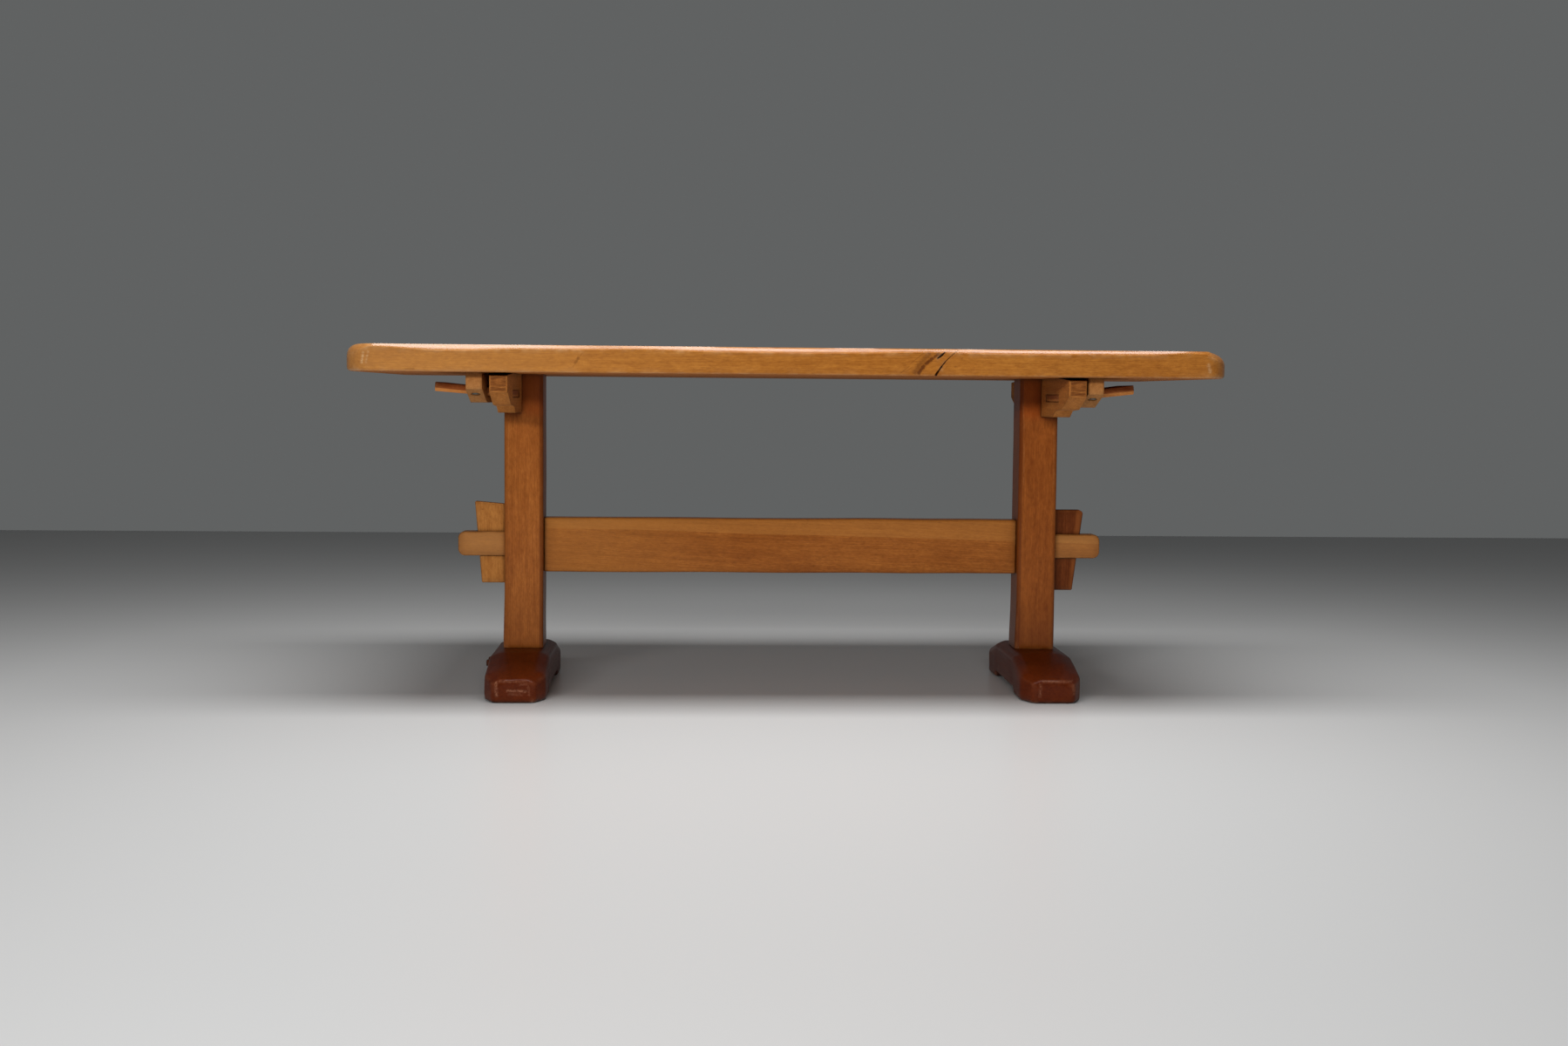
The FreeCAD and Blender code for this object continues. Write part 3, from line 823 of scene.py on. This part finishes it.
RIGHT_WEDGE_LEANS, RIGHT_WEDGE_CUT = (30, 60), 4.5 * MM
KEY_ARRIS, KEY_STEPS, KEY_CELLS = 0.8 * MM, 2, (14 * MM, 12 * MM, 0)
KEY_CHAMFER_START = 0.5 * MM
KEY_CHAMFER_LEAN = 1.3
REAR_KEY_SHAVE = 3 * MM
# Pegs: (distance from an end, share of the radius), flats, turn of one to the next, unevenness
PEG_ENDS = ((0.0, 0.72), (1.2 * MM, 0.9), (3 * MM, 0.985))
PEG_SIDES, PEG_TURN, PEG_UNEVEN = 9, 0.3, 0.03
PEG_SEEDS = (1.7, 3.1, 40)
PEG_CELLS = (8 * MM, 0, 0)


def stretcher(material):
    """The rail between the posts, its arrises a little uneven, with rounded through tenons."""
    bm = cad_solid("stretcher")
    ease(bm, RAIL_ARRIS)
    cut_up(bm, RAIL_CELLS)
    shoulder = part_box("right_post")[0].x
    fade = (shoulder - RAIL_KEEP_FROM, shoulder - RAIL_KEEP_TO)
    hew(bm, *RAIL_HEW, lambda p: 1 - smooth_step(abs(p.x), *fade))
    return piece("stretcher_rail", bm, ["stretcher"], material)


def post(side, material):
    """A post with soft arrises that flares a little to its foot."""
    node = f"{side}_post"
    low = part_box(node)[0]
    bm = cad_solid(node)
    ease(bm, POST_ARRIS)
    cut_up(bm, POST_CELLS)
    rail_low, rail_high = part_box(f"{side}_wedge")[0].z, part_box(f"{side}_wedge")[1].z
    bearer_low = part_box(f"{side}_bearer")[0].z

    def keep(p):
        rail = smooth_step(abs(p.z - (rail_low + rail_high) / 2), *POST_KEEP_RAIL)
        bearer = smooth_step(bearer_low - p.z, *POST_KEEP_BEARER)
        return rail * bearer * smooth_step(p.z, *POST_KEEP_FOOT)

    hew(bm, *POST_HEW, keep)
    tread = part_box(f"{side}_foot")[1].z
    for vert in bm.verts:
        if vert.co.x < low.x + FLARE_EDGE and vert.co.z > tread:
            vert.co.x -= POST_FLARE * (1 - smooth_step(vert.co.z, tread, tread + FLARE_HEIGHT))
    return piece(f"{side}_post_wood", bm, [node], material)


def plain_piece(node, ending, material, width=TIMBER_ARRIS, cells=TIMBER_CELLS):
    """A CAD solid with eased arrises."""
    bm = cad_solid(node)
    ease(bm, width)
    cut_up(bm, cells)
    return piece(node + ending, bm, [node], material)


def foot(side, material):
    """A foot hewn from one block, all its corners worked soft."""
    node = f"{side}_foot"
    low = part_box(node)[0]
    bm = reworked(cad_solid(node), f"{node}_voxels", "REMESH", voxel_size=FOOT_VOXEL)
    for _ in range(FOOT_SOFTENING):
        bmesh.ops.smooth_vert(bm, verts=bm.verts[:], factor=FOOT_SOFT_FACTOR,
                              use_axis_x=True, use_axis_y=True, use_axis_z=True)
    hew(bm, *FOOT_HEW, lambda p: smooth_step(p.z, *FOOT_KEEP_BASE)
        * smooth_step(abs(p.y), *FOOT_KEEP_MIDDLE))
    for vert in bm.verts:
        vert.co.z = max(vert.co.z, low.z)
    return piece(f"{side}_foot_wood", bm, [node], material)


def wedge(side, material):
    """A tusk wedge with eased corners; the left one's top is cut aslant, the right one's is rounded off."""
    node = f"{side}_wedge"
    low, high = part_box(node)
    bm = cad_solid(node)
    if side == "left":
        slope = Vector((-LEFT_WEDGE_FALL, 0, high.x - low.x)).normalized()
        pare(bm, Vector((low.x, 0, high.z)), Vector((-slope.x, 0, slope.z)))
    else:
        for lean in RIGHT_WEDGE_LEANS:
            way = Vector((math.sin(math.radians(lean)), 0, math.cos(math.radians(lean))))
            pare(bm, Vector((high.x, 0, high.z)) - way * RIGHT_WEDGE_CUT, way)
    ease(bm, WEDGE_ARRIS, corner=WEDGE_CORNER)
    cut_up(bm, WEDGE_CELLS)
    return piece(f"{side}_wedge_wood", bm, [node], material)


def key_down(node):
    """The direction straight down across a key, which lies aslant along its slide."""
    draw = Vector(next(j["axis"] for j in frame["joints"] if j["child"] == node))
    down = draw.cross(Vector((0, 1, 0)))
    return down * -math.copysign(1, down.z)


def key(side, row, material):
    """A flat key; its lower arris is planed well back."""
    node = f"{side}_{row}_key"
    low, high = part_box(node)
    bm = cad_solid(node)
    down = key_down(node)
    out = Vector((0, math.copysign(1, low.y + high.y), 0))
    edge = out * max(abs(low.y), abs(high.y))
    middle = Vector(((low.x + high.x) / 2, edge.y, (low.z + high.z) / 2))
    pare(bm, middle + down * KEY_CHAMFER_START, (out * KEY_CHAMFER_LEAN + down).normalized())
    if row == "rear":
        top = max((v.co for v in bm.verts), key=lambda c: -c.dot(down))
        pare(bm, top + down * REAR_KEY_SHAVE, -down)
    ease(bm, KEY_ARRIS, KEY_STEPS)
    cut_up(bm, KEY_CELLS)
    return piece(f"{node}_wood", bm, [node], material)


def separate_boxes(node):
    """The corners of each separate solid of a node."""
    bm = cad_solid(node)
    left = set(bm.verts)
    boxes = []
    while left:
        open_verts, seen = [left.pop()], []
        while open_verts:
            vert = open_verts.pop()
            seen.append(vert.co.copy())
            near = {e.other_vert(vert) for e in vert.link_edges} & left
            left -= near
            open_verts += near
        boxes.append([Vector(pick(c[k] for c in seen) for k in range(3)) for pick in (min, max)])
    bm.free()
    return sorted(boxes, key=lambda box: tuple(box[0]))


def whittled_pegs(node, material):
    """The pegs of a node, shaved to many flats with chamfered ends."""
    bm = bmesh.new()
    for n, (low, high) in enumerate(separate_boxes(node)):
        radius = (high.z - low.z) / 2
        y, z = (low.y + high.y) / 2, (low.z + high.z) / 2
        stations = [(low.x + inset, share) for inset, share in PEG_ENDS]
        stations += [(high.x - inset, share) for inset, share in reversed(PEG_ENDS)]
        rings = []
        for x, share in stations:
            ring = []
            for k in range(PEG_SIDES):
                angle = 2 * math.pi * (k + PEG_TURN * n) / PEG_SIDES
                spot = Vector((k * PEG_SEEDS[0], n * PEG_SEEDS[1], y * PEG_SEEDS[2]))
                r = radius * share * (1 - PEG_UNEVEN * abs(noise.noise(spot)))
                ring.append(bm.verts.new((x, y + r * math.cos(angle), z + r * math.sin(angle))))
            rings.append(ring)
        skin(bm, rings)
    bmesh.ops.recalc_face_normals(bm, faces=bm.faces[:])
    cut_up(bm, PEG_CELLS)
    return piece(node + "_wood", bm, [node], material)


# Stage

FLOOR_HALF = 4.6
FLOOR_PAINT = {"Base Color": (0.57, 0.57, 0.567, 1), "Roughness": 0.3, "Specular IOR Level": 0.35}
FILL_STRENGTH = 0.012
WALL_GREY = (0.118, 0.122, 0.122, 1)
LAMPS = {
    "overhead": {"place": (0, -0.75, 2.75), "target": (0, -0.7, 0), "size": (2.6, 0.9), "power": 79,
                 "spread_angle": 160},
    "front": {"place": (-1.1, -5.2, 1.6), "target": (0, 0, 0.5), "size": (3.8, 0.35), "power": 197,
              "mirrored": False},
}


def stage():
    """A plain pale floor."""
    bm = bmesh.new()
    corners = [(x * FLOOR_HALF, y * FLOOR_HALF, 0) for x, y in ((-1, -1), (1, -1), (1, 1), (-1, 1))]
    bm.faces.new([bm.verts.new(corner) for corner in corners])
    floor = new_object("floor", bm)
    floor.data.materials.append(new_tree("floor_paint", FLOOR_PAINT)[0])


def lamp(name, place, target, size, power, mirrored=True, spread_angle=180):
    """A soft box light that faces a point; mirrored is whether gloss shows it."""
    data = bpy.data.lights.new(name, "AREA")
    data.shape = "RECTANGLE"
    data.size, data.size_y = size
    data.energy = power
    data.spread = math.radians(spread_angle)
    made = bpy.data.objects.new(name, data)
    made.location = place
    made.visible_glossy = mirrored
    made.rotation_euler = (Vector(target) - Vector(place)).to_track_quat("-Z", "Y").to_euler()
    bpy.context.scene.collection.objects.link(made)


def world():
    """Soft all-round light; the camera and reflections see the grey of a studio wall."""
    scene = bpy.context.scene
    scene.world = bpy.data.worlds.new("studio")
    scene.world.use_nodes = True
    tree = scene.world.node_tree
    tree.nodes.clear()
    fill = put(tree, "Background", {"Color": (1, 1, 1, 1), "Strength": FILL_STRENGTH})
    wall = put(tree, "Background", {"Color": WALL_GREY, "Strength": 1.0})
    path = put(tree, "LightPath")
    seen = calc(tree, "MAXIMUM", path.outputs["Is Camera Ray"], path.outputs["Is Glossy Ray"])
    seen = calc(tree, "MAXIMUM", seen, path.outputs["Is Transmission Ray"])
    both = put(tree, "MixShader", {0: seen, 1: fill.outputs[0], 2: wall.outputs[0]})
    out = put(tree, "OutputWorld")
    tree.links.new(both.outputs[0], out.inputs["Surface"])


# The camera that was fitted to the photograph's edges
PHOTO_WIDTH = 1799
FOCAL_PIXELS = 2128.9
CAMERA_PLACE = (-0.1899, -4.1611, 0.6511)
CAMERA_YAW, CAMERA_PITCH, CAMERA_ROLL = (math.radians(a) for a in (2.7, 3.9, 0.5))


def camera():
    """The photograph's view point."""
    data = bpy.data.cameras.new("photo_view")
    data.sensor_fit = "HORIZONTAL"
    data.lens = FOCAL_PIXELS / PHOTO_WIDTH * data.sensor_width
    made = bpy.data.objects.new("photo_view", data)
    turn = Matrix.Rotation(-CAMERA_YAW, 4, "Z") @ Matrix.Rotation(math.pi / 2 - CAMERA_PITCH, 4, "X")
    made.matrix_world = Matrix.Translation(CAMERA_PLACE) @ turn @ Matrix.Rotation(CAMERA_ROLL, 4, "Z")
    bpy.context.scene.collection.objects.link(made)
    bpy.context.scene.camera = made


# Assembly

# Tones of wood: light, dark for late wood, ruddy for blotches, worn for rubbed places and painted glints
HONEY = ((0.332, 0.122, 0.018), (0.18, 0.050, 0.005), (0.26, 0.080, 0.009), (0.64, 0.43, 0.23))
UNDERSIDE = ((0.46, 0.16, 0.035), (0.28, 0.085, 0.015), (0.36, 0.11, 0.02), (0.50, 0.22, 0.07))
AMBER = ((0.318, 0.102, 0.0165), (0.145, 0.036, 0.005), (0.22, 0.061, 0.008), (0.42, 0.19, 0.06))
RUSSET = ((0.32, 0.100, 0.018), (0.15, 0.036, 0.005), (0.22, 0.055, 0.008), (0.40, 0.16, 0.05))
CHESTNUT = ((0.285, 0.080, 0.0127), (0.11, 0.024, 0.003), (0.165, 0.036, 0.005), (0.34, 0.13, 0.04))
TAWNY = ((0.49, 0.190, 0.044), (0.13, 0.040, 0.010), (0.35, 0.112, 0.022), (0.52, 0.26, 0.085))
PALE = ((0.42, 0.190, 0.060), (0.22, 0.080, 0.019), (0.30, 0.112, 0.027), (0.46, 0.26, 0.11))
MAHOGANY = ((0.088, 0.0128, 0.0016), (0.036, 0.0058, 0.0009), (0.14, 0.024, 0.003), (0.36, 0.16, 0.09))
DARK_RED = ((0.128, 0.031, 0.007), (0.045, 0.010, 0.0024), (0.075, 0.016, 0.0035), (0.20, 0.065, 0.02))
KEY_TONES = ((0.56, 0.22, 0.055), (0.27, 0.078, 0.016), (0.42, 0.135, 0.03), (0.58, 0.28, 0.10))
# KEY_SHADE is the painted shade of a key's upper half, where the top shades it
KEY_SHADE = (0.15, 0.022, 0.003)
WEDGE_TONES = ((0.41, 0.165, 0.038), (0.18, 0.052, 0.010), (0.28, 0.092, 0.017), (0.46, 0.22, 0.075))
PEG_TONES = ((0.060, 0.016, 0.007), (0.03, 0.008, 0.004), (0.045, 0.012, 0.005), (0.16, 0.05, 0.025))

# Marks: start x and z, end x and z, half width (mm), soft share of it, strength
FRONT_STROKES = (
    (256.4, 698.4, 270.5, 717.9, 5.2, 0.6, 0.86), (270.5, 717.9, 288.2, 732.1, 4.8, 0.6, 0.86),
    (288.2, 732.1, 300.6, 740.9, 4.2, 0.7, 0.80), (249.3, 698, 261.7, 720, 10, 0.8, 0.55),
    (260, 718, 282, 741, 9, 0.8, 0.50), (221, 700, 240, 715, 1.6, 0.9, 0.32),
    (242, 719.7, 268.8, 742, 1.6, 0.9, 0.34), (233.4, 703.8, 247.5, 714.4, 1.4, 0.9, 0.30),
    (295.3, 730.3, 311.5, 743.5, 2.6, 0.5, 1.00), (291, 694, 306, 716, 2.8, 0.5, 1.00),
    (306, 716, 313.1, 725.2, 2, 0.6, 0.95), (313.1, 725.2, 337.5, 748, 1.1, 0.7, 0.60),
    (330.7, 713.5, 336, 715.2, 1.6, 0.8, 0.40), (344.9, 730.3, 348.4, 733.8, 1.6, 0.8, 0.35),
    (309.5, 707.3, 318.3, 716.1, 1.3, 0.9, 0.35), (-437, 713, -428, 727, 4.5, 0.9, 0.42),
    (-441, 706, -422, 735, 1.6, 0.9, 0.32), (-776, 699.5, -757, 700.5, 3, 0.9, 0.30),
)
# Painted glints on the rounded corners at the ends of the front plank
CORNER_GLINTS = (
    (-858.4, 733.1, -863.8, 710.5, 4.5, 1, 0.6),
    (-848.1, 734.9, -853.4, 710.6, 3.5, 1, 0.4),
    (853, 725, 857.1, 705.6, 5, 1, 0.5),
)
# Pale marks on the feet's front ends: scuff marks in the middle and painted highlights along the edges
FOOT_SCUFFS_AND_GLINTS = {
    "left": ((-612, 46, -609, 14, 5, 1, 0.60), (-608, 47, -548, 46, 4, 1, 0.30),
             (-588, 27, -546, 26, 4, 1, 0.60), (-562, 40, -542, 42, 4, 1, 0.25),
             (-586, 20, -556, 19, 5, 1, 0.18), (-544, 40, -541, 16, 4, 1, 0.20)),
    "right": ((546, 44, 545, 14, 5, 1, 0.30), (548, 48, 610, 47, 3.5, 1, 0.35),
              (617, 42, 618, 18, 4.5, 1, 0.25)),
}
# Pale lines along the crests of the posts' arrises: wear, and a painted highlight on the ridge
POST_CREST_WEAR_AND_GLINTS = {
    "left": ((-605.5, 600, -604.5, 470, 1.8, 1, 0.30),),
    "right": ((534.7, 640.9, 539.3, 576.9, 1.8, 1, 0.5),
              (539.1, 557.5, 540, 458.2, 1.9, 1, 0.6),
              (606, 598.8, 606.8, 458.6, 2.2, 1, 0.45)),
}
WEDGE_SPECKS = {
    "left": ((-668, 395, -665, 395, 1.6, 0.9, 0.7), (-668, 401, -666, 401, 1.3, 0.9, 0.5),
             (-646, 406, -641, 406, 1.3, 0.9, 0.6)),
    "right": ((660, 390, 662, 390, 1.2, 0.9, 0.6), (667, 389, 668, 389, 1, 0.9, 0.5)),
}
# A darker red along the posts' inner arrises
INNER_ARRIS_RED = (0.085, 0.014, 0.002)
INNER_ARRIS = 6 * MM
POST_FOOT_SHARE = {"left": 0.36, "right": 0.5}
# A painted reddish shade at the head of the posts, under the top
POST_HEAD_SHADE_RED = (0.28, 0.045, 0.005)
PALE_HONEY = (0.50, 0.27, 0.10)
PALE_AMBER = (0.46, 0.20, 0.045)
SAP_RED = (0.23, 0.065, 0.015)
PLANK_SHADES = (1.0, 0.94, 1.06, 0.97)
# The pith's place across the grain: planks' from their middle and underside, posts' in x from their
# left face, bearers' and battens' from their low corner, the others' from the frame's origin
PLANK_HEARTS = ((-0.03, -0.16), (0.05, 0.22), (-0.05, -0.12), (0.02, 0.2))
POST_HEARTS = {"left": (0.21, 0.03), "right": (0.03, 0.085)}
BEARER_HEART, BATTEN_HEART = (0.03, 0.05), (0.01, 0.03)
RAIL_HEART, TONGUE_HEART, KEY_HEART = (0.20, 0.50), (0.1, 0.6), (0.1, 0.7)
FOOT_HEART, WEDGE_HEART = (0.60, -0.05), (0.7, 0.05)
FOOT_PEG_HEART, LAP_PEG_HEART = (0.01, 0.06), (0.01, 0.66)
# Tinted bands: direction in x and z, start along it, soft width, strength, tint
# Painted light on the planks: lighter towards the left end, where the light falls stronger
PLANK_PAINTED_LIGHT = ((-1, 0, 0.1, 0.7, 0.22, PALE_HONEY),)
# On the rail: a painted sheen along its upper facet, painted light growing towards the left, and lighter
# ends beyond the posts
RAIL_SHEEN_LIGHT_AND_ENDS = ((0.024, 1, 0.345, 2 * MM, 0.30, PALE_AMBER), (-1, 0, 0.1, 0.3, 0.22, PALE_AMBER),
              (-1, 0, 0.61, 0.02, 0.28, PALE_HONEY), (1, 0, 0.61, 0.02, 0.2, PALE_HONEY))
# The painted shade at the post heads
POST_HEAD_SHADE_BAND = (0, 1, 0.60, 0.02, 0.4, POST_HEAD_SHADE_RED)
WEDGE_BANDS = {"left": (), "right": ((1, -0.078, 0.637, 6 * MM, 0.8, SAP_RED),)}
# Spots along x where the top's varnish is dull: centre, reach, loss
VARNISH_DULL = ((-0.37, 0.10, 0.34), (0.22, 0.20, 0.28))


def shaded(tones, share):
    """The same tones, lighter or darker."""
    return tuple(dimmed(tone, share) for tone in tones)


def make_top():
    """The planks and the looks of the tongues between them."""
    for index, (shade, (aside, above)) in enumerate(zip(PLANK_SHADES, PLANK_HEARTS), 1):
        low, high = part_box(f"top_plank_{index}")
        heart = ((low.y + high.y) / 2 + aside, low.z + above)
        first = index == 1
        face = wood(f"plank_{index}_wood", "x", heart, shaded(HONEY, shade), contrast=0.3, gloss=0.36,
                    coat=0.6, wear=0.2, grime=0.06, pores=0.3, end_tone=0.08, streaks=0.5,
                    front=cad_box[0].y, strokes=FRONT_STROKES if first else (),
                    glints_and_scuffs=CORNER_GLINTS if first else (), bands=PLANK_PAINTED_LIGHT, dull=VARNISH_DULL)
        bare = wood(f"plank_{index}_underside", "x", heart, UNDERSIDE, coat=0.0, gloss=0.7)
        plank(index, face, bare)
    tongue_wood = wood("tongue_wood", "x", TONGUE_HEART, TAWNY)
    for index in range(1, 4):
        frame["nodes"][f"top_tongue_{index}"].data.materials[0] = tongue_wood


def make_post(side):
    """A post with a dark inner arris, a darker foot, a painted reddish shade at its head, and pale lines
    along its arrises, part wear and part painted highlight.
    """
    tones = RUSSET if side == "left" else CHESTNUT
    low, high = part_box(f"{side}_post")
    aside, deep = POST_HEARTS[side]
    inner, inward = (high.x, 1) if side == "left" else (-low.x, -1)
    # The head band is a painted shade under the top; the last band darkens the inner arris
    bands = ((0, -1, -0.24, 0.15, POST_FOOT_SHARE[side], tones[1]), POST_HEAD_SHADE_BAND,
             (inward, 0, inner - INNER_ARRIS, 2 * MM, 0.55, INNER_ARRIS_RED))
    post(side, wood(f"{side}_post_grain", "z", (low.x + aside, deep), tones, ring=3.6 * MM, lean=0.012,
                    pores=0.35, grime=0.6, glints_and_scuffs=POST_CREST_WEAR_AND_GLINTS[side], front=low.y, bands=bands))


def make_cross_timbers(side):
    """The bearer on a post and the batten under the top, both without varnish."""
    for part, (aside, above), tones, end_tone in (("bearer", BEARER_HEART, TAWNY, 1.0),
                                                  ("batten", BATTEN_HEART, PALE, 0.3)):
        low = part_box(f"{side}_{part}")[0]
        grain = wood(f"{side}_{part}_grain", "y", (low.x + aside, low.z + above), tones, coat=0.0,
                     gloss=0.65, end_tone=end_tone)
        plain_piece(f"{side}_{part}", "_wood", grain)


def make_foot(side, sign):
    """A dark foot with scuff marks and painted highlights along its front end."""
    foot(side, wood(f"{side}_foot_grain", "y", (sign * FOOT_HEART[0], FOOT_HEART[1]), MAHOGANY,
                    ring=5 * MM, gloss=0.42, coat=0.12, wear=0.5, grime=0.2, glints_and_scuffs=FOOT_SCUFFS_AND_GLINTS[side],
                    front=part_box(f"{side}_foot")[0].y))


def make_locks(side, sign):
    """The tusk wedge and the two keys of a side; a key's upper half gets a painted shade."""
    tones = WEDGE_TONES if side == "left" else DARK_RED
    wedge(side, wood(f"{side}_wedge_grain", "z", (sign * WEDGE_HEART[0], WEDGE_HEART[1]), tones,
                     coat=0.05, strokes=WEDGE_SPECKS[side], front=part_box(f"{side}_wedge")[0].y,
                     bands=WEDGE_BANDS[side]))
    for row in ("front", "rear"):
        low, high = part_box(f"{side}_{row}_key")
        down = key_down(f"{side}_{row}_key")
        # Painted shade: a darker band over the key's upper half
        upper = (-down.x, -down.z, -down.dot((low + high) / 2) - MM, 2 * MM, 0.85, KEY_SHADE)
        key(side, row, wood(f"{side}_{row}_key_grain", "x", KEY_HEART, KEY_TONES, coat=0.0,
                            bands=(upper,)))


def make_fixings(side, screw_steel):
    """The pegs and screws of a side."""
    whittled_pegs(f"{side}_foot_pegs",
                  wood(f"{side}_foot_peg_grain", "x", FOOT_PEG_HEART, PEG_TONES))
    whittled_pegs(f"{side}_lap_pegs",
                  wood(f"{side}_lap_peg_grain", "x", LAP_PEG_HEART, KEY_TONES, coat=0.0))
    plain_piece(f"{side}_batten_screws", "_steel", screw_steel, SCREW_ARRIS, SCREW_CELLS)


def build():
    """All pieces of the table."""
    make_top()
    stretcher(wood("rail_wood", "x", RAIL_HEART, AMBER, ring=3.0 * MM, contrast=0.34, wander=20 * MM,
                   lean=0.05, pores=0.6, grime=0.6, blotch=0.6, bands=RAIL_SHEEN_LIGHT_AND_ENDS))
    screw_steel = steel("screw_steel_plated")
    for side, sign in zip(SIDES, (-1, 1)):
        make_post(side)
        make_cross_timbers(side)
        make_foot(side, sign)
        make_locks(side, sign)
        make_fixings(side, screw_steel)


bpy.context.scene.view_settings.view_transform = "Standard"
build()
stage()
world()
for lamp_name, settings in LAMPS.items():
    lamp(lamp_name, **settings)
camera()
